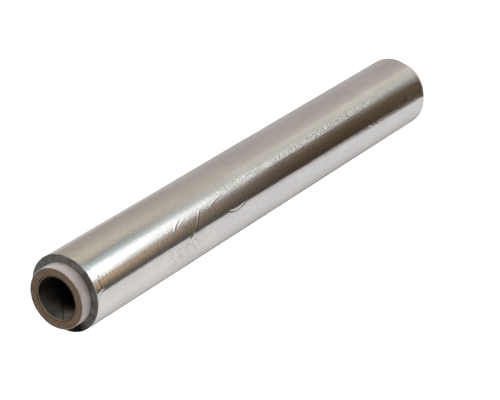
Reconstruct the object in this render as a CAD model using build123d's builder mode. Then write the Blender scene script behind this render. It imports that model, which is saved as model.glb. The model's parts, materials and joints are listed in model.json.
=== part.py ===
"""An aluminium foil roll, standing on one end of its core.

Three pieces make it up. A thick spiral-wound board tube is the core. A thin
white paper facing is glued round the board as the core's last ply. The foil
is wound tightly on that facing, narrower than the core, so that a short
collar of core stands out at each end. All the turns of foil are one solid.

The frame's origin is the centre of the core's lower end face, and +Z runs up
the core's axis. All sizes are in millimetres.
"""

import os

from build123d import *

# The foil: how wide the web is, and how thick the roll has been wound.
foil_width = 300.0
foil_diameter = 40.0

# The core: the bore that a spindle passes, the board's wall, the paper facing
# glued on it, and how far the core stands out past the foil at each end.
bore_diameter = 21.5
board_wall = 4.5
facing_thickness = 0.5
core_collar = 6.5

# Broken edges: the cut board's rims, and the outer turns at the roll's ends.
board_rim_break = 0.3
foil_edge_round = 0.3

# What follows from them. The facing fits the board, and the foil is wound on
# the facing, with no gap at either.
bore_radius = bore_diameter / 2
board_radius = bore_radius + board_wall
facing_radius = board_radius + facing_thickness
foil_radius = foil_diameter / 2
core_length = foil_width + 2 * core_collar
foil_bottom = core_collar


# The board tube is cut off square, with its inner rim lightly broken by the
# saw. Its outer rim is covered by the facing.
with BuildPart() as core_tube:
    with BuildSketch(Plane.XY):
        Circle(board_radius)
        Circle(bore_radius, mode=Mode.SUBTRACT)
    extrude(amount=core_length)
    end_rims = core_tube.faces().filter_by(Axis.Z).edges().filter_by(GeomType.CIRCLE)
    inner_rims = end_rims.group_by(SortBy.RADIUS)[0]
    chamfer(inner_rims, length=board_rim_break)

# The facing covers the board from end to end, cut off flush with it.
with BuildPart() as core_facing:
    with BuildSketch(Plane.XY):
        Circle(facing_radius)
        Circle(board_radius, mode=Mode.SUBTRACT)
    extrude(amount=core_length)

# The winding sits midway along the core. Its outermost turns are softly
# rounded over at both ends, where the foil is handled.
with BuildPart() as foil_winding:
    with BuildSketch(Plane.XY.offset(foil_bottom)):
        Circle(foil_radius)
        Circle(facing_radius, mode=Mode.SUBTRACT)
    extrude(amount=foil_width)
    end_rims = foil_winding.faces().filter_by(Axis.Z).edges().filter_by(GeomType.CIRCLE)
    outer_rims = end_rims.group_by(SortBy.RADIUS)[-1]
    fillet(outer_rims, radius=foil_edge_round)


os.makedirs("parts", exist_ok=True)

core_tube.part.label = "core_tube"
export_step(core_tube.part, "parts/core_tube.step")

core_facing.part.label = "core_facing"
export_step(core_facing.part, "parts/core_facing.step")

foil_winding.part.label = "foil_winding"
export_step(foil_winding.part, "parts/foil_winding.step")
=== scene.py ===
# %% [markdown]
# # A roll of kitchen foil
# The roll is three things: a thick board tube, a white paper ply glued round it,
# and some thirty metres of thin aluminium wound on that. It stands on one end of
# its core. The packed model gives the sizes and the place of each of them, so the
# frame is loaded first, and everything that follows is measured from it.

# %% Load the frame
import json
from math import cos, pi, radians, sin

import bpy
import numpy as np
from mathutils import Matrix, Vector


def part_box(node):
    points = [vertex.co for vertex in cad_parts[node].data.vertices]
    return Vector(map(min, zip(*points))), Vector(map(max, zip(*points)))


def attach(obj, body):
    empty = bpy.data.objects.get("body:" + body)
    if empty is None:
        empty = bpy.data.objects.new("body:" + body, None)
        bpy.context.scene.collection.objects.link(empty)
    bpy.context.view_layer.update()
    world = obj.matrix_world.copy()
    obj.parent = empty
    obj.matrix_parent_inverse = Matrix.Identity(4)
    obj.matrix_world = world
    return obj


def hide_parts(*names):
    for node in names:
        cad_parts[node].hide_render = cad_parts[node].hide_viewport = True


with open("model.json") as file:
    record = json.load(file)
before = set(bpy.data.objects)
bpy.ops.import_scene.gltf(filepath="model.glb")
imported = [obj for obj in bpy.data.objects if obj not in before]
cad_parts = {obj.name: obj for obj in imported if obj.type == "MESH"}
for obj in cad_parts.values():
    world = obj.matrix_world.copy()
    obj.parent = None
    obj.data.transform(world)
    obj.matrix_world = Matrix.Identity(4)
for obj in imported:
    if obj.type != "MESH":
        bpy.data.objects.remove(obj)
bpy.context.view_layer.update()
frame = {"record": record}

# %% [markdown]
# ## The sizes that the frame gives
# A node's box gives its outer radius and its two ends. The bore can't be read from
# a box, but it is one of the part's interfaces, so its radius is in the record.
# Small sizes of the lesson's own are written in millimetres and multiplied by MM.

# %% Read the sizes
MM = 0.001


def round_size(node):
    """Outer radius, lower end and upper end of a round node, in metres."""
    low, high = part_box(node)
    return (high[0] - low[0]) / 2, low[2], high[2]


foil_radius, foil_low, foil_high = round_size("foil_winding")
board_radius, core_low, core_high = round_size("core_tube")
paper_radius = round_size("core_facing")[0]
bore = next(m for m in frame["record"]["mounts"] if m["name"] == "core_bore")
bore_radius = bore["dims"]["r_mm"] * MM
print("foil", foil_radius, foil_low, foil_high, "core", bore_radius, board_radius, paper_radius)

# %% [markdown]
# ## From a grid of points to a mesh
# Every piece of the roll goes all the way round, so every piece is a stack of
# rings. Its section is a closed outline of radius and height, and each point of
# the outline makes one ring. The last ring is joined to the first, so a piece has
# no open edge. Outlines are drawn up the outside and back down the inside, which
# makes the faces point outwards.

# %% Rings into a mesh
def ring_mesh(name, points):
    """A closed shell from rings of points: points[i, j] is point j of ring i.

    Ring i is joined to ring i + 1, the last ring to the first, and the last point
    of a ring to its first point, all with four-cornered faces.
    """
    rings, spokes, _ = points.shape
    corner = np.arange(rings * spokes).reshape(rings, spokes)
    above = np.roll(corner, -1, axis=0)
    quads = np.stack([corner, np.roll(corner, -1, 1), np.roll(above, -1, 1), above], -1)
    mesh = bpy.data.meshes.new(name)
    mesh.vertices.add(corner.size)
    mesh.vertices.foreach_set("co", points.astype(np.float32).ravel())
    mesh.loops.add(quads.size)
    mesh.loops.foreach_set("vertex_index", quads.astype(np.int32).ravel())
    mesh.polygons.add(corner.size)
    mesh.polygons.foreach_set("loop_start", np.arange(0, quads.size, 4, dtype=np.int32))
    mesh.update(calc_edges=True)
    mesh.validate()
    mesh.shade_smooth()
    piece = bpy.data.objects.new(name, mesh)
    bpy.context.scene.collection.objects.link(piece)
    print(name, "rings", rings, "spokes", spokes, "triangles", 2 * corner.size)
    return piece


def sweep_round(bearing, radius, height):
    """Points at a bearing, in radians from -Y towards +X, a radius and a height."""
    return np.stack([radius * np.sin(bearing), -radius * np.cos(bearing), height], -1)

# %% Outlines and grids
def outline(*stretches):
    """The radii and heights of an outline, from stretches of (radii, heights).

    Where one of the two is a single number, it holds for the whole stretch.
    """
    pairs = [np.broadcast_arrays(radii, heights) for radii, heights in stretches]
    return np.concatenate([p[0] for p in pairs]), np.concatenate([p[1] for p in pairs])


def ring_grid(radii, heights, bearings):
    """Radius, height and bearing of every point: a row for each ring of the outline."""
    radius, bearing = np.meshgrid(radii, bearings, indexing="ij")
    height = np.meshgrid(heights, bearings, indexing="ij")[0]
    return radius, height, bearing


print("a square outline:", [part.tolist() for part in outline(([1, 2], 0), ([2, 1], 1))])

# %% [markdown]
# ## Spacing rings where the detail is
# Plain foil needs few rings, but a crease half a millimetre wide needs several
# across it. So the spacing is worked out from a wanted step: short steps where
# there are creases, and long ones elsewhere.

# %% Uneven steps
spacing_samples = 8000


def spaced(start, end, plain_step, fine_step, fine_spans):
    """Values from start to end, about plain_step apart, or fine_step inside the spans.

    The density is one over the wanted step. Equal steps of the density's running
    sum give the values.
    """
    fine = np.linspace(start, end, spacing_samples)
    density = np.full_like(fine, 1 / plain_step)
    for low, high in fine_spans:
        density[(fine > low) & (fine < high)] = 1 / fine_step
    steps = (density[1:] + density[:-1]) / 2 * np.diff(fine)
    total = np.concatenate([[0.0], np.cumsum(steps)])
    count = round(total[-1]) + 1
    return np.interp(np.linspace(0, total[-1], count), total, fine)


print("steps of 2, and of 1 from 4 to 6:", np.round(spaced(0, 10, 2, 1, [(4, 6)]), 2))

# %% [markdown]
# ## Creases in thin foil
# A crease is a low ridge along a short, slightly bowed line. It is under a tenth
# of a millimetre high, but a mirror shows slopes, not heights, so it breaks the
# bright and dark bands that run along the roll. Each crease is given by its two
# ends, as height up the roll and bearing round it, where a maker would feel it
# with a fingertip.

# %% The crease formula
mm_per_degree = radians(1) * foil_radius / MM
end_fade = 1.6


def crease(height, bearing, start, end, bow, width, rise):
    """Rise of the surface near a line from start to end, each (mm up, degrees round).

    Points are unrolled to millimetres along and round the roll. s runs from 0 to 1
    along the line, and d is the distance off it, less a parabola that bows the line
    by bow in its middle. The rise is a bell curve in d. It fades towards both ends
    as the square root of the same parabola, times end_fade and cut off at 1.
    """
    first = np.array([start[0], start[1] * mm_per_degree])
    span = np.array([end[0], end[1] * mm_per_degree]) - first
    length = np.hypot(*span)
    x = height / MM - first[0]
    y = bearing * foil_radius / MM - first[1]
    s = (x * span[0] + y * span[1]) / length**2
    inside = np.clip(s, 0, 1)
    parabola = 4 * inside * (1 - inside)
    d = (x * span[1] - y * span[0]) / length - bow * parabola
    past_end = (s - inside) * length / width
    fade = np.clip(parabola * end_fade, 0, 1) ** 0.5
    return rise * MM * fade * np.exp(-((d / width) ** 2) - past_end**2)


def dent(height, bearing, middle, along, round_about, rise):
    """A bell-shaped dent (rise under 0) or bump about middle, (mm up, degrees round).

    along and round_about are the distances, in mm, at which the bell has fallen to
    about a third. The bearing is measured the short way round the roll.
    """
    x = (height / MM - middle[0]) / along
    turned = (bearing - radians(middle[1]) + pi) % (2 * pi) - pi
    y = turned * foil_radius / MM / round_about
    return rise * MM * np.exp(-(x**2) - y**2)


print("one degree round the foil is", round(mm_per_degree, 3), "mm")

# %% [markdown]
# ## Where this roll is creased
# Handling has left one long slanting crease, a smile-shaped fold below it, and a
# few short nicks beside the brightest band. Faint crinkles lie under the thumb's
# place, and the rims are nicked all the way round. The back and sides have wide,
# shallow dents from being held. The rest of the foil is only very slightly uneven,
# because it was wound over a tube that isn't perfectly round.

# %% Lay out the creases and dents
creases = [
    # start (mm up, degrees round), end, then bow, width and rise in mm
    ((219, 2), (230.5, -28), 0.4, 0.30, 0.026),
    ((228, -20), (232.5, -31), 0.2, 0.50, 0.060),
    ((242, -6), (235.5, 4), 0.4, 0.38, 0.032),
    ((238, -4), (231, 2), 0.2, 0.34, 0.014),
    ((211.5, -3), (198.5, 4), 0.5, 0.36, 0.030),
    ((233, 12), (226, 16), 0.2, 0.40, 0.012),
    ((199, -23), (184.5, -23.5), -1.7, 0.34, -0.064),
    ((247, -36), (238, -49), 0.4, 0.50, 0.040),
    ((241, -34), (230, -49), -0.5, 0.50, 0.036),
    ((234, -31), (227, -41), 0.3, 0.45, 0.034),
    ((66, -25), (60, -32), 0.2, 0.50, 0.025),
    ((61, -27), (57, -32), 0.2, 0.40, 0.020),
]
dents = [
    # middle (mm up, degrees round), then spread along, spread round and rise in mm
    ((24, -21), 2.2, 1.6, 0.055),
    ((33, -22.5), 0.45, 0.45, 0.060),
    ((206, -40), 7.0, 4.0, 0.030),
    ((150, -47), 10.0, 5.0, -0.030),
]
print("placed by hand: creases", len(creases), "dents", len(dents))

# %% Nick the rims
upper_rim_nicks, lower_rim_nicks = 46, 24
past_rim = 0.5
nick_reach, nick_width, nick_rise = (3, 9), (0.35, 0.8), (0.020, 0.055)
nick_bow = 0.2
nick_lean = 7


def rim_nicks(count, rim, inward, seed):
    """Short creases that start at a rim and run inward, spread evenly round the roll.

    The rim is a height in mm. Each nick's place in its share of the circle, reach,
    lean, width and rise are drawn from the ranges above, in mm and degrees.
    """
    pick = np.random.default_rng(seed)
    nicks = []
    for i in range(count):
        place = -180 + 360 * (i + pick.uniform(0, 1)) / count
        reach, lean = pick.uniform(*nick_reach), pick.uniform(-nick_lean, nick_lean)
        width, rise = pick.uniform(*nick_width), pick.uniform(*nick_rise)
        nicks.append(((rim, place), (rim + inward * reach, place + lean), nick_bow, width, rise))
    return nicks


creases += rim_nicks(upper_rim_nicks, foil_high / MM + past_rim, -1, 11)
creases += rim_nicks(lower_rim_nicks, foil_low / MM - past_rim, 1, 12)
print("with the rims' nicks: creases", len(creases))

# %% Dent the back and sides
soft_dents = 26
dent_bearings = (40, 290)
dent_along, dent_round, dent_rise = (6, 16), (3.0, 6.5), (0.03, 0.07)


def handling_dents(count, seed):
    """Wide, shallow dents and bumps, one in each equal share of the roll's height.

    Bearings are drawn from 40 round the back to 290 degrees, and the sizes, in mm,
    from the ranges above.
    """
    pick = np.random.default_rng(seed)
    marks = []
    for i in range(count):
        up = foil_high / MM * (i + pick.uniform(0.2, 0.8)) / count
        middle = up, pick.uniform(*dent_bearings)
        along, round_about = pick.uniform(*dent_along), pick.uniform(*dent_round)
        marks.append((middle, along, round_about, pick.choice([-1, 1]) * pick.uniform(*dent_rise)))
    return marks


dents += handling_dents(soft_dents, 13)
print("with the soft ones: dents", len(dents))

# %% Add up the relief
slow_waves = [
    # rise in mm, waves round the roll, mm up for each radian of slant, phase
    (0.018, 3, 31, 0.0),
    (0.009, 7, -17, 1.0),
    (0.004, 13, 9, 2.0),
    (0.002, 19, -5, 0.5),
]


def foil_relief(height, bearing):
    """How far the foil's outside stands off a true cylinder, in metres.

    The slow waves are sines of the bearing, each slanted by adding the height over
    its own length. The creases and dents are added to them.
    """
    total = 0.0
    for rise, waves, slant, phase in slow_waves:
        total = total + rise * MM * np.sin(waves * bearing + height / MM / slant + phase)
    for start, end, bow, width, rise in creases:
        total = total + crease(height, bearing, start, end, bow, width, rise)
    for middle, along, round_about, rise in dents:
        total = total + dent(height, bearing, middle, along, round_about, rise)
    return total


waist = foil_relief(np.full(360, (foil_low + foil_high) / 2), np.radians(np.arange(360)))
print("at half height the relief is from", waist.min() / MM, "to", waist.max() / MM, "mm")

# %% [markdown]
# ## The winding
# Hundreds of turns lie so tightly together that only the outer turn and the cut
# edges show. The two ends are not quite flat: each turn sits a hair higher or
# lower than its neighbour, which gives the ends their fine rings. The last turn
# stops at a straight tail edge on the back. It lifts a little just before the
# edge, and then the surface steps down by some thicknesses of foil.

# %% Choose the winding's bearings and heights
# slack leaves room inside the frame's box for the parts of the relief that rise
edge_round = 0.3 * MM
slack = 0.09 * MM
side_radius = foil_radius - slack
corner_radius = side_radius - edge_round

creased_bearings = [(radians(-52), radians(20)), (radians(144), radians(151))]
creased_heights = [
    (181 * MM, 248 * MM),
    (297 * MM, foil_high),
    (56 * MM, 67 * MM),
    (22 * MM, 35 * MM),
    (foil_low, 9 * MM),
]
bearings = spaced(-pi, pi, radians(2.4), radians(0.8), creased_bearings)[:-1]
heights = spaced(
    foil_low + edge_round, foil_high - edge_round, 3.0 * MM, 0.29 * MM, creased_heights
)
print("bearings", len(bearings), "heights", len(heights))

# %% Draw the winding's outline
# outwards across the lower end, up the side, and back inwards across the upper end
turns_drawn = 18
inner_gap = 0.02 * MM
turn_radii = np.linspace(paper_radius + inner_gap, corner_radius, turns_drawn)
rounding = np.linspace(0, pi / 2, 5)[1:-1]
foil_radii, foil_heights = outline(
    (turn_radii, foil_low),
    (corner_radius + edge_round * np.sin(rounding), foil_low + edge_round * (1 - np.cos(rounding))),
    (side_radius, heights),
    (corner_radius + edge_round * np.cos(rounding), foil_high - edge_round * (1 - np.sin(rounding))),
    (turn_radii[::-1], foil_high),
)
print("turns drawn", turns_drawn, "rings in all", len(foil_radii))

# %% The ends' fine rings and ragged rims
end_spread = 0.12 * MM
end_rings_per_mm = (0.3, 0.7, 1.2, 1.8)
nibbles_round = (7, 17, 31, 47, 64)
nibbled_share = 0.35


def turn_edges(radius, bearing, seed):
    """How far the turns' edges stand in from an end of the roll, in metres.

    Sines in the radius, each with its own phase that drifts slowly round the roll,
    give rings that are nearly, but not quite, true circles. Their sum is scaled so
    that it stays between 0 and end_spread.
    """
    pick = np.random.default_rng(seed)
    total = 0.0
    for per_mm in end_rings_per_mm:
        phase, drift = pick.uniform(0, 2 * pi), pick.uniform(0.3, 0.9)
        total = total + np.sin(2 * pi * per_mm * radius / MM + phase + drift * np.sin(bearing + phase))
    return end_spread * (0.5 - total / (2 * len(end_rings_per_mm)))


def ragged_rim(bearing, seed):
    """How far the outermost turns' edges are pushed in, from 0 to 1, in uneven nibbles.

    It is the mean of sines of the bearing, raised by nibbled_share and cut off at 0.
    """
    pick = np.random.default_rng(seed)
    total = sum(np.sin(n * bearing + pick.uniform(0, 2 * pi)) for n in nibbles_round)
    return np.clip(total / len(nibbles_round) + nibbled_share, 0, 1)


print("share of the upper rim that is pushed in:", (ragged_rim(bearings, 5) > 0).mean().round(2))

# %% Shape the side and its tail edge
# past_tail runs from 0 turns, just past the tail edge, to 1 turn, just before it
# lift_share is the part of that turn in which the foil lifts
tail_bearing = radians(148)
tail_step, tail_lift = 0.05 * MM, 0.05 * MM
lift_share = radians(0.7)

radius, height, bearing = ring_grid(foil_radii, foil_heights, bearings)
on_side = np.clip((radius - corner_radius) / edge_round, 0, 1)
past_tail = (bearing - tail_bearing) % (2 * pi) / (2 * pi)
before_tail = np.clip((past_tail - 1) / lift_share + 1, 0, 1)
tail = tail_step * (past_tail - 1) + tail_lift * before_tail**2
radius = radius + on_side * (foil_relief(height, bearing) + tail)
print("the tail's lift begins", round(360 * lift_share, 1), "degrees before the edge")

# %% Push in the ends, and make the mesh
rim_nibble = 0.22 * MM


def pushed_in(rings_seed, rim_seed):
    """How far each point would stand in at an end: by the rings, and by the side the nibbles."""
    rings = (1 - on_side) * turn_edges(radius, bearing, rings_seed)
    return rings + on_side * rim_nibble * ragged_rim(bearing, rim_seed)


near_upper, near_lower = height > foil_high - edge_round, height < foil_low + edge_round
height = height - near_upper * pushed_in(3, 5) + near_lower * pushed_in(4, 6)
foil_piece = ring_mesh("foil_turns", sweep_round(bearing, radius, height))

# %% [markdown]
# ## The board tube
# Strips of brown board are wound in a spiral and glued, ply on ply, then the tube
# is sawn to length. The sawn end shows the plies as faint rings. The innermost ply
# has come a little loose there, so it stands back from the rest, and inside the
# bore the edges of its strip meet in a seam that climbs in a helix.

# %% The board's small relief
board_plies = 8
ply_thickness = (board_radius - bore_radius) / board_plies
ply_relief = 0.06 * MM
lining_drop = 0.35 * MM
rim_break = 0.30 * MM
seam_pitch = 80.0 * MM
seam_bearing = radians(-108)
seam_width = 0.60 * MM
seam_depth = 0.14 * MM


def seam_gap(height, bearing):
    """How far a point of the bore lies from the seam, in metres measured up the bore.

    The seam leaves the upper rim at its own bearing and goes round once in a pitch.
    """
    turns = (height - core_high) / seam_pitch - (bearing - seam_bearing) / (2 * pi)
    return ((turns + 0.5) % 1.0 - 0.5) * seam_pitch


def sawn_end(radius, bearing, seed):
    """How far a sawn end stands in: a ridge for each ply, slow waves, and the loose lining.

    Ridges are a cosine of the radius, one to a ply, and the waves are sines of the
    bearing. The lining's drop is a smooth step that ends a fifth of a ply past it.
    """
    ridges = np.cos(2 * pi * (radius - bore_radius) / ply_thickness)
    slow = np.sin(5 * bearing + seed) + np.sin(11 * bearing + radius / MM * 2 + seed)
    edge = np.clip((radius - bore_radius - 0.5 * ply_thickness) / (0.7 * ply_thickness), 0, 1)
    lining = lining_drop * (1 - edge**2 * (3 - 2 * edge))
    return ply_relief * (1.0 - 0.5 * ridges - 0.25 * slow) + lining


print("a ply is", round(ply_thickness / MM, 3), "mm thick")

# %% Draw the board's outline
# outwards across the lower end, inwards across the upper one, and down the bore
face_rings = 34
seen_depth = 26 * MM
seen_ends = [(core_low, core_low + seen_depth), (core_high - seen_depth, core_high)]
face_radii = np.linspace(bore_radius + rim_break, board_radius, face_rings)
bevel = np.linspace(0, 1, 4)[1:-1]
down = spaced(core_low + rim_break, core_high - rim_break, 3.2 * MM, 0.42 * MM, seen_ends)[::-1]
board_outline = outline(
    (face_radii, core_low),
    (face_radii[::-1], core_high),
    (bore_radius + rim_break * (1 - bevel), core_high - rim_break * bevel),
    (bore_radius, down),
    (bore_radius + rim_break * bevel, core_low + rim_break * (1 - bevel)),
)
print("rings on each face", face_rings, "rings down the bore", len(down))

# %% Wind the board
core_spokes = 300
core_bearings = np.linspace(-pi, pi, core_spokes + 1)[:-1]
radius, height, bearing = ring_grid(*board_outline, core_bearings)
at_upper_end = height > core_high - 2 * rim_break
in_bore = radius < bore_radius + rim_break / 2
height = height - at_upper_end * sawn_end(radius, bearing, 1.0)
radius = radius + in_bore * seam_depth * np.exp(-((seam_gap(height, bearing) / seam_width) ** 2))
board_piece = ring_mesh("board_tube", sweep_round(bearing, radius, height))

# %% [markdown]
# ## The paper facing
# The last ply is smooth white paper. Only its two ends show, as a collar beyond
# the foil and as a thin bright rim round the brown end face. It was cut with the
# board, so its edge is very slightly ragged.

# %% Draw the paper's outline
# both ends are half rounds as wide as the paper is thick, in quarters here
lip = (paper_radius - board_radius) / 2
lip_middle = board_radius + lip
quarter = np.linspace(0, pi / 2, 5)
side_heights = np.linspace(core_low + lip, core_high - lip, 100)[1:-1]
paper_outline = outline(
    (lip_middle + lip * np.sin(quarter), core_low + lip * (1 - np.cos(quarter))),
    (paper_radius, side_heights),
    (lip_middle + lip * np.cos(quarter), core_high - lip * (1 - np.sin(quarter))),
    (lip_middle - lip * np.sin(quarter[1:]), core_high - lip * (1 - np.cos(quarter[1:]))),
    (lip_middle - lip * np.cos(quarter[:-1]), core_low + lip * (1 - np.sin(quarter[:-1]))),
)
print("the paper is", round(2 * lip / MM, 2), "mm thick")

# %% Wrap the paper
ragged_edge = 0.04 * MM
radius, height, bearing = ring_grid(*paper_outline, core_bearings)
ragged = 3 - np.sin(9 * bearing) - np.sin(23 * bearing + 1) - np.sin(41 * bearing + 2)
height = height - (height > core_high - 2 * lip) * ragged_edge * ragged
paper_piece = ring_mesh("paper_facing", sweep_round(bearing, radius, height))

# %% [markdown]
# ## Writing shaders as sums
# A material is a graph of nodes, and a graph is hard to read as code. The class
# below wraps one output socket, so that 1 - mask or noise * 0.2 + 0.5 adds the
# Math nodes by itself. Every other node comes from its node method, which sets
# the node's settings first and then fills or links its sockets.

# %% The Wire class
class Wire:
    """An output socket that can be added, multiplied and so on, like a number."""

    def __init__(self, tree, made=None, output=0):
        self.tree = tree
        self.made = made
        self.socket = made.outputs[output] if made and made.outputs else None

    def node(self, kind, settings=None, inputs=None, output=0):
        """Adds a node of a kind, with its settings, then its sockets' values or links."""
        made = self.tree.nodes.new(kind)
        for key, value in (settings or {}).items():
            if key == "stops":
                ramp = made.color_ramp
                ramp.elements.remove(ramp.elements[-1])
                ramp.elements[0].position, ramp.elements[0].color = value[0][0], (*value[0][1], 1)
                for place, colour in value[1:]:
                    ramp.elements.new(place).color = (*colour, 1)
            else:
                setattr(made, key, value)
        for key, value in (inputs or {}).items():
            if isinstance(value, Wire):
                self.tree.links.new(value.socket, made.inputs[key])
            else:
                made.inputs[key].default_value = value
        return Wire(self.tree, made, output)

    def out(self, output):
        """Another output of the same node."""
        return Wire(self.tree, self.made, output)

    def math(self, operation, *values):
        """A Math node whose sockets are filled with the values in turn."""
        return self.node("ShaderNodeMath", {"operation": operation}, dict(enumerate(values)))

    def __add__(self, other):
        return self.math("ADD", self, other)

    def __sub__(self, other):
        return self.math("SUBTRACT", self, other)

    def __rsub__(self, other):
        return self.math("SUBTRACT", other, self)

    def __mul__(self, other):
        return self.math("MULTIPLY", self, other)

    def __truediv__(self, other):
        return self.math("DIVIDE", self, other)

    __radd__, __rmul__ = __add__, __mul__

    def step(self, low, high):
        """0 below low, 1 above high, and a smooth climb between them."""
        sockets = {0: self, 1: low, 2: high}
        return self.node("ShaderNodeMapRange", {"interpolation_type": "SMOOTHSTEP"}, sockets)

    def mix(self, first, second):
        """The colour first where this wire is 0, and second where it is 1."""
        return self.node("ShaderNodeMix", {"data_type": "RGBA"}, {0: self, 6: first, 7: second}, 2)


print("a Wire has", [name for name in vars(Wire) if not name.startswith("__")])

# %% Noise, places and ramps
DEGREES = 180 / pi


def grain(start, place, scale, detail=2.0, rough=0.5):
    """Soft noise from 0 to 1 at a place: scale is how many grains fit in a metre."""
    sockets = {"Vector": place, "Scale": scale, "Detail": detail, "Roughness": rough}
    return start.node("ShaderNodeTexNoise", {}, sockets)


def stretched(start, place, across, along):
    """The place with X and Y multiplied by across and Z by along, so grains stretch."""
    return start.node(
        "ShaderNodeVectorMath", {"operation": "MULTIPLY"}, {0: place, 1: (across, across, along)}
    )


def across_axis(start, place):
    """The place with its height left out, and how far it lies from the roll's axis."""
    flat = stretched(start, place, 1.0, 0.0)
    length = {"operation": "LENGTH"}
    return flat, start.node("ShaderNodeVectorMath", length, {0: flat}, "Value")


def parts(start, place):
    """A place split up, so that out("X"), out("Y") and out("Z") give its numbers."""
    return start.node("ShaderNodeSeparateXYZ", {}, {0: place})


def joined(start, x, y, z=0.0):
    """A place put together from three numbers or wires."""
    return start.node("ShaderNodeCombineXYZ", {}, {"X": x, "Y": y, "Z": z})


def bearing_of(start, axes):
    """The bearing of a split place or direction, in radians from -Y towards +X."""
    return start.math("ARCTAN2", axes.out("X"), 0.0 - axes.out("Y"))


def facing(axes, off_axis, x, y):
    """How squarely a point faces the direction (x, y): their dot product over off_axis."""
    return (axes.out("X") * x + axes.out("Y") * y) / off_axis


def ramp(start, value, stops):
    """A colour ramp: stops are (place from 0 to 1, colour)."""
    return start.node("ShaderNodeValToRGB", {"stops": stops}, {"Fac": value}, "Color")


print("one radian is", round(DEGREES, 2), "degrees")

# %% Start and finish a material
def new_finish(name):
    """A new material: its start wire and the wire of the Object coordinates."""
    material = bpy.data.materials.new(name)
    material.use_nodes = True
    material.node_tree.nodes.clear()
    start = Wire(material.node_tree)
    return material, start, start.node("ShaderNodeTexCoord", output="Object")


def finish_off(start, sockets):
    """Adds the Principled shader with these sockets, and the material's output."""
    shader = start.node("ShaderNodeBsdfPrincipled", {}, sockets)
    start.node("ShaderNodeOutputMaterial", {}, {"Surface": shader})
    print("finished with", len(start.tree.nodes), "nodes:", sorted(sockets))


def bump(start, height, strength, distance):
    """A Bump node: a height of 1 stands for a rise of distance metres."""
    sockets = {"Height": height, "Strength": strength, "Distance": distance}
    return start.node("ShaderNodeBump", {}, sockets)


print("materials so far", len(bpy.data.materials))

# %% [markdown]
# ## Bright rolled foil
# Kitchen foil is nearly a mirror. The steel rollers leave hair-fine lines in the
# direction the web ran, which is round the roll, and the wound foil takes a fine
# frosted grain from the turns below. Both are far too fine for the mesh, so they
# are bump: noises stretched round the roll, and one small round grain. In a stripe
# along the middle of the roll, where it has lain and been rubbed, the grain is
# stronger and the metal is flecked. Handling has left it a little duller in
# patches, and scratched where a thumb held it.

# %% The foil's fine relief
# bearings here are in degrees and heights in mm
rolled_foil, start, place = new_finish("rolled_foil")
axes = parts(start, place)
bearing = bearing_of(start, axes) * DEGREES
height = axes.out("Z") / MM
rubbed = bearing.step(0, 4) * bearing.step(15, 7) * height.step(225, 175) * height.step(20, 80)

frost_grains, plain_frost, rubbed_frost = 1250.0, 1.3, 3.6
lines = grain(start, stretched(start, place, 110.0, 2400.0), 1.0, 2.0, 0.6)
puckers = grain(start, stretched(start, place, 330.0, 1000.0), 1.0, 2.0, 0.6)
frost = grain(start, place, frost_grains, 2.0, 0.5)
relief = (frost - 0.5) * (plain_frost + rubbed_frost * rubbed) + puckers * 0.25 + lines * 0.15
print("a grain of frost is", 1 / (frost_grains * MM), "mm wide")

# %% Where handling has dulled the foil
# the scratches slant: they are noise, drawn out along one diagonal of the side
slant = 0.35
drawn_out = joined(start, (height + bearing * slant) * 0.10, (height - bearing * slant) * 1.1)
scratch = grain(start, drawn_out, 1.0, 2.0, 0.55)
thumb_height = height.step(220, 232) * height.step(254, 243)
thumbed = thumb_height * bearing.step(-60, -50) * bearing.step(-26, -34)
speckle = grain(start, place, 1500.0, 1.0, 0.5)
patches = grain(start, stretched(start, place, 60.0, 34.0), 1.0, 4.0, 0.55)
dull = patches.step(0.34, 0.62) * 0.6 + speckle.step(0.35, 0.65) * 0.7
scratched = thumbed * scratch.step(0.50, 0.60) * 0.6 + rubbed * speckle.step(0.44, 0.57)
print("nodes for the foil's wear and relief", len(start.tree.nodes))

# %% Finish the foil's side
clean_metal, dull_metal = (0.955, 0.95, 0.95, 1), (0.845, 0.84, 0.84, 1)
scratched_metal = (0.54, 0.53, 0.52, 1)
finish_off(
    start,
    {
        "Base Color": scratched.mix(dull.mix(clean_metal, dull_metal), scratched_metal),
        "Metallic": 1.0,
        "Roughness": 0.055 + 0.05 * dull + 0.03 * lines,
        "Normal": bump(start, relief, 1.0, 0.022 * MM),
    },
)

# %% [markdown]
# ## The cut edges of the turns
# At the ends light falls between the turns and little comes back, so the metal
# looks dull and dark there. The slitting knife has pressed the edges over more in
# some places than in others, which mottles the ring. Its colour also holds painted
# light: streaks of painted reflection, a side painted a little paler as if lit,
# and one place of painted shadow that is nearly black.

# %% How far the cut edges are pressed over, with painted light and shade
# rings follow the distance from the axis, and the painted reflection streaks only the direction from it
cut_edges, start, place = new_finish("foil_cut_edges")
flat, off_axis = across_axis(start, place)
axes = parts(start, flat)
ringed = joined(start, off_axis * 2600.0, axes.out("X") * 14.0, axes.out("Y") * 14.0)
rings = grain(start, ringed, 1.0, 3.0, 0.6)
outward = start.node("ShaderNodeVectorMath", {"operation": "NORMALIZE"}, {0: flat})
# painted reflection: light and dark streaks by direction stand in for the metal's glints
painted_glint_streaks = grain(start, outward, 2.6, 4.0, 0.6)
smear = grain(start, place, 420.0, 3.0, 0.6)
# painted light: one side of the ring is painted paler, as if lit
painted_lit_side = facing(axes, off_axis, 1.0, 1.0).step(0.2, 1.4)
# painted shadow: one place of the ring is painted nearly black, where shade falls
painted_shadow_place = facing(axes, off_axis, -0.82, 0.57).step(0.70, 0.97)
tone_and_painted_light = (
    0.59
    + 0.12 * painted_lit_side
    - 0.55 * painted_shadow_place
    + 0.90 * (painted_glint_streaks - 0.5)
    + 0.35 * (smear - 0.5)
    + 0.30 * (rings - 0.5)
)
print("nodes for the pressing", len(start.tree.nodes))

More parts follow.
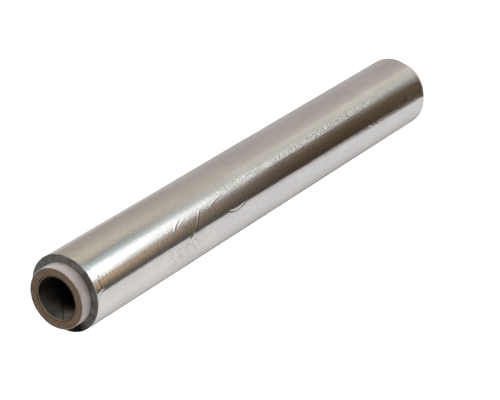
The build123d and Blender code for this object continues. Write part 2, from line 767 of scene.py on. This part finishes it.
# %% Finish the foil's ends
cut_tones = [
    # how far pressed over, with the painted light and shade, then the colour
    (0.0, (0.030, 0.023, 0.018)),
    (0.25, (0.085, 0.070, 0.057)),
    (0.5, (0.26, 0.255, 0.24)),
    (0.75, (0.50, 0.50, 0.49)),
    (1.0, (0.68, 0.68, 0.67)),
]
finish_off(
    start,
    {
        "Base Color": ramp(start, tone_and_painted_light, cut_tones),
        "Metallic": 1.0,
        "Roughness": 0.36 + 0.2 * rings,
        "Normal": bump(start, rings, 1.0, 0.05 * MM),
    },
)

# %% Put both finishes on the winding
# a band of faces gets the cut edges' finish where one of its two rings is off the side
foil_piece.data.materials.append(rolled_foil)
foil_piece.data.materials.append(cut_edges)
inner_ring = np.minimum(foil_radii, np.roll(foil_radii, -1))
ring_finish = (inner_ring < corner_radius - 0.01 * MM).astype(np.int32)
foil_piece.data.polygons.foreach_set("material_index", np.repeat(ring_finish, len(bearings)))
print("rings of cut edges", ring_finish.sum(), "of", len(ring_finish))

# %% [markdown]
# ## Brown board
# Recycled board is a felt of short fibres, brown with lighter and darker flecks.
# Its sawn end shows each ply as a slightly lighter ring. Glue has soaked into the
# joint behind the lining, which leaves a dark line round it. The lining's rim is
# painted paler on one side, as if lit. The lining is a smooth grey-brown strip,
# darker along its seam. Painted light makes it palest just inside the end on one
# side, and painted shade makes it nearly black further in.

# %% The board's sawn end
brown_board, start, place = new_finish("brown_board")
flat, off_axis = across_axis(start, place)
axes = parts(start, place)
fibres = grain(start, stretched(start, place, 1.0, 3.0), 1500.0, 4.0, 0.65)
cloud = grain(start, place, 160.0, 3.0, 0.6)
ply_place = joined(start, off_axis / ply_thickness, axes.out("X") * 60.0, axes.out("Y") * 60.0)
plies = grain(start, ply_place, 1.6, 2.0, 0.5)
tone = fibres * 0.40 + cloud * 0.25 + plies * 0.35
sawn = tone.step(0.3, 0.7).mix((0.15, 0.10, 0.066, 1), (0.30, 0.215, 0.15, 1))
print("nodes for the sawn end", len(start.tree.nodes))

# %% The lining's rim and the dark glue behind it
lining_rim, dark_glue = (0.34, 0.27, 0.205, 1), (0.045, 0.030, 0.022, 1)
joint = bore_radius + 1.5 * ply_thickness + 0.5 * MM * (cloud - 0.5)
joint_gap = start.math("ABSOLUTE", off_axis - joint)
glue = joint_gap.step(0.42 * MM, 0.12 * MM) * cloud.step(0.30, 0.55)
lining_edge = off_axis.step(bore_radius + 1.1 * ply_thickness, bore_radius + 0.8 * ply_thickness)
# painted light: the lining's rim has its own paler colour, and is painted paler still on one side, as if
# lit
painted_lit_rim_side = facing(axes, off_axis, 1.0, 1.0).step(-0.3, 0.9)
sawn_with_lining = (lining_edge * (0.25 + 0.75 * painted_lit_rim_side)).mix(sawn, lining_rim)
sawn_and_glued = glue.mix(sawn_with_lining, dark_glue)
print("the glue line is", round((bore_radius + 1.5 * ply_thickness) / MM, 2), "mm from the axis")

# %% The lining down the bore, its seam, and its painted light and shade
# painted shade: the lining is painted nearly black deeper in, and palest just inside the end, in mm from
# the end
painted_shade_depth, palest_depth = 17 * MM, 2 * MM
painted_bore_shade, seam_brown = (0.006, 0.005, 0.004, 1), (0.018, 0.010, 0.007, 1)
climb = (axes.out("Z") - core_high) / seam_pitch
round_turns = bearing_of(start, axes) / (2 * pi) - seam_bearing / (2 * pi)
seam_turns = start.math("WRAP", climb - round_turns, 0.5, -0.5)
seam_line = start.math("ABSOLUTE", seam_turns * seam_pitch).step(0.9 * MM, 0.3 * MM)
lining_tone = fibres * 0.5 + cloud * 0.5
lining = lining_tone.step(0.3, 0.7).mix((0.065, 0.055, 0.047, 1), (0.32, 0.282, 0.245, 1))
end_gap = start.math("MINIMUM", axes.out("Z"), core_high - axes.out("Z"))
# painted light: near the end the lining is painted paler on one side, as if lit
painted_lit_bore_side = facing(axes, off_axis, -0.50, 0.87).step(0.3, 0.95)
painted_lit = end_gap.step(painted_shade_depth, palest_depth) * (0.12 + 0.88 * painted_lit_bore_side)
lining_and_seam = (seam_line * 0.6).mix(painted_lit.mix(painted_bore_shade, lining), seam_brown)
print("the lining is worn pale to", round(painted_shade_depth / MM), "mm from the end")

# %% Finish the board
# the bore ends just inside the break of its rim
inside = off_axis.step(bore_radius + 0.29 * MM, bore_radius + 0.27 * MM)
finish_off(
    start,
    {
        "Base Color": inside.mix(sawn_and_glued, lining_and_seam),
        "Roughness": 0.9,
        "Specular IOR Level": 0.2,
        "Normal": bump(start, fibres * 0.6 + plies * 0.4, 0.8, 0.10 * MM),
    },
)
board_piece.data.materials.append(brown_board)

# %% [markdown]
# ## White facing paper
# The facing is bleached paper with a soft tooth. It is a little grey and uneven
# from handling, and has no shine.

# %% The paper's finish
white_paper, start, place = new_finish("white_paper")
cloud = grain(start, place, 220.0, 4.0, 0.6)
tooth = grain(start, stretched(start, place, 1.0, 1.6), 2600.0, 3.0, 0.6)
tone = cloud * 0.7 + tooth * 0.3
finish_off(
    start,
    {
        "Base Color": tone.step(0.3, 0.7).mix((0.44, 0.388, 0.356, 1), (0.58, 0.524, 0.489, 1)),
        "Roughness": 0.8,
        "Specular IOR Level": 0.25,
        "Normal": bump(start, tooth, 0.6, 0.04 * MM),
    },
)
paper_piece.data.materials.append(white_paper)

# %% Say what each piece stands for
for piece, node, slot in (
    (foil_piece, "foil_winding", "foil"),
    (board_piece, "core_tube", "core_board"),
    (paper_piece, "core_facing", "core_paper"),
):
    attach(piece, "root")
    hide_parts(node)
    print(piece.name, "stands for", node, "in slot", slot)

# %% [markdown]
# ## The camera
# The camera looks down the length of the roll with a long lens, from well above
# its upper end, and is turned about its own line of sight so that the roll lies
# from the lower left to the upper right. It is set before the room, because what
# the foil mirrors depends on where it is seen from.

# %% Set the camera
lens_length = 157.6
sensor_width = 36.0
aim_point = Vector((-8.9, 0.0, 160.6)) * MM
camera_distance = 1136.0 * MM
camera_azimuth, camera_elevation, camera_roll = 0.675, 48.303, -122.04

turn, tilt = radians(camera_azimuth), radians(camera_elevation)
back = Vector((sin(turn) * cos(tilt), -cos(turn) * cos(tilt), sin(tilt)))
camera_place = aim_point + back * camera_distance
camera = bpy.data.objects.new("camera", bpy.data.cameras.new("camera"))
bpy.context.scene.collection.objects.link(camera)
camera.data.lens, camera.data.sensor_width = lens_length, sensor_width
aimed = (-back).to_track_quat("-Z", "Y").to_matrix().to_4x4()
rolled = Matrix.Rotation(radians(camera_roll), 4, "Z")
camera.matrix_world = Matrix.Translation(camera_place) @ aimed @ rolled
bpy.context.scene.camera = camera
bpy.context.scene.view_settings.view_transform = "Standard"
print("camera at", tuple(round(v, 4) for v in camera_place))

# %% [markdown]
# ## What the foil mirrors
# A polished cylinder shows the room round it as bands that run along it, so the
# look of foil is mostly the look of its surroundings. Here the room is painted on
# the world: warm grey walls, a tall dark curtain with folds in it, and a bright
# window beside it with a cool shade at its edge. A ray that leaves the roll high up
# dips less than one from low down, so for this camera a ray's dip says at what
# height of the roll it is seen. That lets the window be brightest near the upper
# end, and fade and turn warmer down the roll. It is dimmed again for rays that
# leave nearly level, so that from the side the roll keeps its outline against a
# white background.

# %% The walls
# bearing in degrees from -Y towards +X, and the colour there; the two ends agree
UPPER_WALLS = (
    (-180, (0.46, 0.44, 0.43)),
    (-172, (0.21, 0.20, 0.19)),
    (-158, (0.32, 0.305, 0.29)),
    (-152, (0.47, 0.45, 0.44)),
    (-130, (0.60, 0.58, 0.56)),
    (-95, (0.74, 0.72, 0.70)),
    (-50, (0.70, 0.67, 0.65)),
    (20, (0.64, 0.73, 0.78)),
    (29, (0.49, 0.56, 0.58)),
    (36, (0.37, 0.41, 0.415)),
    (42, (0.29, 0.305, 0.29)),
    (50, (0.47, 0.435, 0.37)),
    (66, (0.56, 0.51, 0.42)),
    (84, (0.46, 0.42, 0.35)),
    (104, (0.40, 0.35, 0.31)),
    (128, (0.37, 0.33, 0.30)),
    (150, (0.56, 0.53, 0.51)),
    (172, (0.64, 0.62, 0.60)),
    (180, (0.46, 0.44, 0.43)),
)
LOWER_WALLS = (
    (-180, (0.36, 0.34, 0.33)),
    (-172, (0.21, 0.20, 0.19)),
    (-158, (0.28, 0.265, 0.25)),
    (-152, (0.40, 0.38, 0.37)),
    (-130, (0.54, 0.52, 0.51)),
    (-100, (0.66, 0.65, 0.64)),
    (-70, (0.67, 0.66, 0.66)),
    (-50, (0.62, 0.58, 0.58)),
    (12, (0.54, 0.53, 0.48)),
    (30, (0.57, 0.55, 0.48)),
    (43, (0.64, 0.60, 0.53)),
    (56, (0.50, 0.45, 0.41)),
    (80, (0.43, 0.38, 0.35)),
    (110, (0.41, 0.37, 0.36)),
    (130, (0.45, 0.42, 0.40)),
    (150, (0.46, 0.43, 0.41)),
    (172, (0.51, 0.49, 0.47)),
    (180, (0.36, 0.34, 0.33)),
)


def walls(start, bearing, stops):
    """A colour ramp round the room: bearing runs from -180 to 180 degrees."""
    return ramp(start, bearing / 360 + 0.5, [((turn + 180) / 360, colour) for turn, colour in stops])


print("wall stops", len(UPPER_WALLS), len(LOWER_WALLS))

# %% The curtain's colours
# share of the way across from the curtain's outer edge to the window, and the colour
UPPER_CURTAIN = (
    (0.0, (0.070, 0.072, 0.063)),
    (0.30, (0.13, 0.122, 0.100)),
    (0.52, (0.36, 0.265, 0.175)),
    (0.72, (0.64, 0.46, 0.305)),
    (1.0, (0.57, 0.45, 0.33)),
)
MIDDLE_CURTAIN = (
    (0.0, (0.092, 0.088, 0.082)),
    (0.5, (0.15, 0.137, 0.121)),
    (1.0, (0.30, 0.262, 0.218)),
)
LOWER_CURTAIN = (
    (0.0, (0.038, 0.024, 0.016)),
    (0.5, (0.082, 0.050, 0.028)),
    (1.0, (0.16, 0.110, 0.070)),
)
print("curtain stops", len(UPPER_CURTAIN), len(MIDDLE_CURTAIN), len(LOWER_CURTAIN))

# %% Heights and bearings in the room
# reach is how far the camera stands from the foil's side, measured level
world = bpy.data.worlds.new("studio")
bpy.context.scene.world = world
world.use_nodes = True
world.node_tree.nodes.clear()
start = Wire(world.node_tree)
axes = parts(start, start.node("ShaderNodeTexCoord", output="Generated"))
rise = axes.out("Z")
slope = (0.0 - rise) / start.math("SQRT", 1.0 - rise * rise)
reach = Vector((camera_place.x, camera_place.y)).length - foil_radius
height = (camera_place.z - slope * reach) / MM
bearing = bearing_of(start, axes) * DEGREES
print("a ray that levels out is seen from", round(camera_place.z, 3), "m up; reach", round(reach, 3), "m")

# %% Where the curtain and the window end
# edges and blurs are degrees round the room; heights, as everywhere here, are mm up the roll
window_edge = 5.5 - 10.5 * height.step(45, 5) - 10.5 * height.step(190, 250) - 9.0 * height.step(268, 316)
window_blur = 2.5 + 8.0 * height.step(60, 20) - 1.3 * height.step(240, 270)
window_end = 27.5 + 2.0 * height.step(210, 290)
shade_width = 16.0
curtain_edge = 18.0 * height.step(0, 150) - 69.0 - 1.6 * height.step(265, 290)
curtain_blur = 1.5
past_window = bearing.step(window_end - shade_width, window_end)
in_window = bearing.step(window_edge - window_blur, window_edge + window_blur)
in_curtain = bearing.step(curtain_edge - curtain_blur, curtain_edge + curtain_blur)
print("nodes for the edges", len(start.tree.nodes))

# %% The window's light
# brighter upwards, a little dimmer beside the curtain half-way up, and dim when level
window_light = 0.46 + 0.33 * start.math("MAXIMUM", height, 0.0) / 200 + 0.40 * height.step(180, 265)
beside_curtain = height.step(215, 160) * height.step(5, 50) * bearing.step(14, 9)
nearly_level = height.step(450, 650)
window_light = window_light * (1.0 - 0.34 * beside_curtain)
window_light = window_light * (1.0 - 0.62 * nearly_level)
cool = height.step(110, 225)
tint = {
    "Red": window_light,
    "Green": window_light * (0.985 + 0.015 * cool),
    "Blue": window_light * (0.88 + 0.10 * cool),
}
window = start.node("ShaderNodeCombineColor", {}, tint, "Color")
print("nodes with the window's light", len(start.tree.nodes))

# %% The curtain and its folds
low_curtain, fold_shadow = (0.16, 0.13, 0.10, 1), (0.022, 0.014, 0.009, 1)
across_curtain = (bearing - curtain_edge) / (window_edge - curtain_edge)
lower_part = height.step(150, 225).mix(
    ramp(start, across_curtain, LOWER_CURTAIN), ramp(start, across_curtain, MIDDLE_CURTAIN)
)
curtain = height.step(235, 300).mix(lower_part, ramp(start, across_curtain, UPPER_CURTAIN))
curtain = (height.step(34, 4) * 0.7).mix(curtain, low_curtain)
fold_noise = grain(start, joined(start, bearing * 0.16, height * 0.055), 1.0, 3.0, 0.6)
folds = fold_noise.step(0.35, 0.70) * height.step(215, 170)
curtain = (folds * 0.45).mix(curtain, fold_shadow)
print("nodes with the curtain", len(start.tree.nodes))

# %% Put walls, curtain and window together
pale_corner = (0.46, 0.45, 0.44, 1)
shade_shift = 6.0 - 6.0 * height.step(212, 245)
wall = height.step(195, 262).mix(
    walls(start, bearing, LOWER_WALLS), walls(start, bearing + shade_shift, UPPER_WALLS)
)
wall = (height.step(70, 25) * bearing.step(-148, -156)).mix(wall, pale_corner)
mirrored = in_curtain.mix(wall, in_window.mix(curtain, past_window.mix(window, wall)))
print("nodes with the walls", len(start.tree.nodes))

# %% Close the room overhead
# above the level the room is a grey ceiling, darker towards +X; the camera sees white
grey_side, dark_side = (0.34, 0.34, 0.34, 1), (0.10, 0.095, 0.09, 1)
overhead = axes.out("X").step(-0.8, 0.8).mix(grey_side, dark_side)
room = rise.step(-0.05, 0.15).mix(mirrored, overhead)
seen_by_camera = start.node("ShaderNodeLightPath", output="Is Camera Ray")
shown = seen_by_camera.mix(room, (1.0, 1.0, 1.0, 1))
background = start.node("ShaderNodeBackground", {}, {"Color": shown})
start.node("ShaderNodeOutputWorld", {}, {"Surface": background})
print("nodes in the world", len(start.tree.nodes))

# %% [markdown]
# ## The floor
# The floor is a wide pale disc. It is kept out of mirror images, so that the foil
# shows the room and not a blank sheet, and it glows softly, which keeps it
# nearly white without lighting the board end too strongly.

# %% Lay the floor
floor_size = 9.0
floor_corners = 96
rim = np.linspace(0, 2 * pi, floor_corners + 1)[:-1]
floor_points = np.stack([floor_size * np.cos(rim), floor_size * np.sin(rim), 0 * rim], -1)
floor_mesh = bpy.data.meshes.new("floor")
floor_mesh.from_pydata(floor_points.tolist(), [], [list(range(floor_corners))])
floor = bpy.data.objects.new("floor", floor_mesh)
bpy.context.scene.collection.objects.link(floor)
pale, start, place = new_finish("pale_floor")
cloud = grain(start, place, 3.0, 2.0, 0.5)
finish_off(
    start,
    {
        "Base Color": cloud.mix((0.86, 0.86, 0.86, 1), (0.88, 0.88, 0.88, 1)),
        "Roughness": 0.9,
        "Emission Color": (1.0, 1.0, 1.0, 1.0),
        "Emission Strength": 0.80,
    },
)
floor.data.materials.append(pale)
floor.visible_glossy = False
print("floor", 2 * floor_size, "m across")

# %% [markdown]
# ## Soft lights
# Two large soft boxes stand high: the key on the side of the roll that looks
# brighter, and a weaker one that fills the other side. Both are kept out of mirror
# images, so that the foil's rounded rims don't show them as thin white lines.

# %% Hang the lights
def soft_box(name, spot, aim, size, watts):
    """A square area light at spot, in metres, turned to face aim."""
    lamp = bpy.data.lights.new(name, "AREA")
    lamp.shape, lamp.size, lamp.energy = "SQUARE", size, watts
    holder = bpy.data.objects.new(name, lamp)
    bpy.context.scene.collection.objects.link(holder)
    holder.location = spot
    holder.rotation_euler = (Vector(aim) - Vector(spot)).to_track_quat("-Z", "Y").to_euler()
    holder.visible_glossy = False
    print(name, watts, "W,", size, "m square, at", spot)


roll_middle = (0.0, 0.0, (core_low + core_high) / 2)
soft_box("key_box", (1.7, -0.2, 1.5), roll_middle, 1.4, 26.0)
soft_box("fill_box", (-1.6, -0.8, 1.3), roll_middle, 1.6, 5.0)
